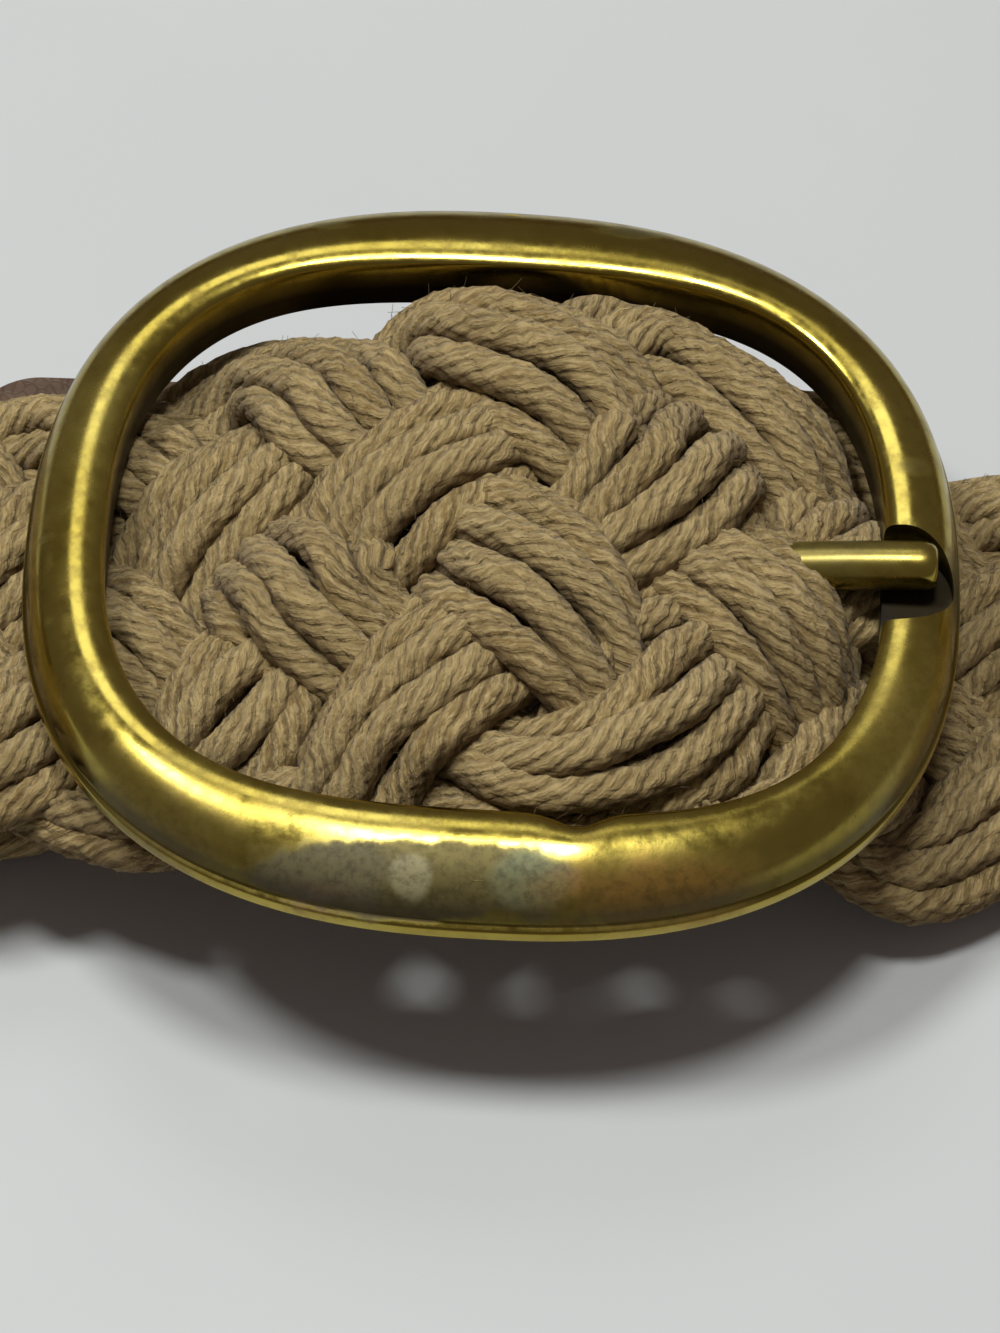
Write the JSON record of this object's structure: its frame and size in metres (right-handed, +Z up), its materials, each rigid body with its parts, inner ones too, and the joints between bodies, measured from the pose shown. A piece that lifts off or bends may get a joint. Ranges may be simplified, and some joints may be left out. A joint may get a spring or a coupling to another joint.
{
  "type": "braided belt",
  "caption": "Fastened waist belt: a flat plait of cotton cord bundles, an oval brass buckle with a centre bar and prong, and a leather tab.",
  "frame": {"origin": "middle of the belt's bounding box, on the surface that it lies on", "axes": "+Z up, the buckle faces up at the front (-Y), the loop goes round the waist hollow behind it, +X to the right along the front of the belt"},
  "size_m": [0.3754, 0.223, 0.042],
  "materials": {
    "brass": "polished and worn, with brown and grey tarnish",
    "leather": "dark brown, matt, worn edges",
    "cotton_cord": "matt twisted cotton cord, slightly fluffy"
  },
  "bodies": {
    "root": {"buckle_frame": "brass", "prong": "brass", "leather_tab": "leather", "belt_braid": "cotton_cord"}
  },
  "joints": []
}
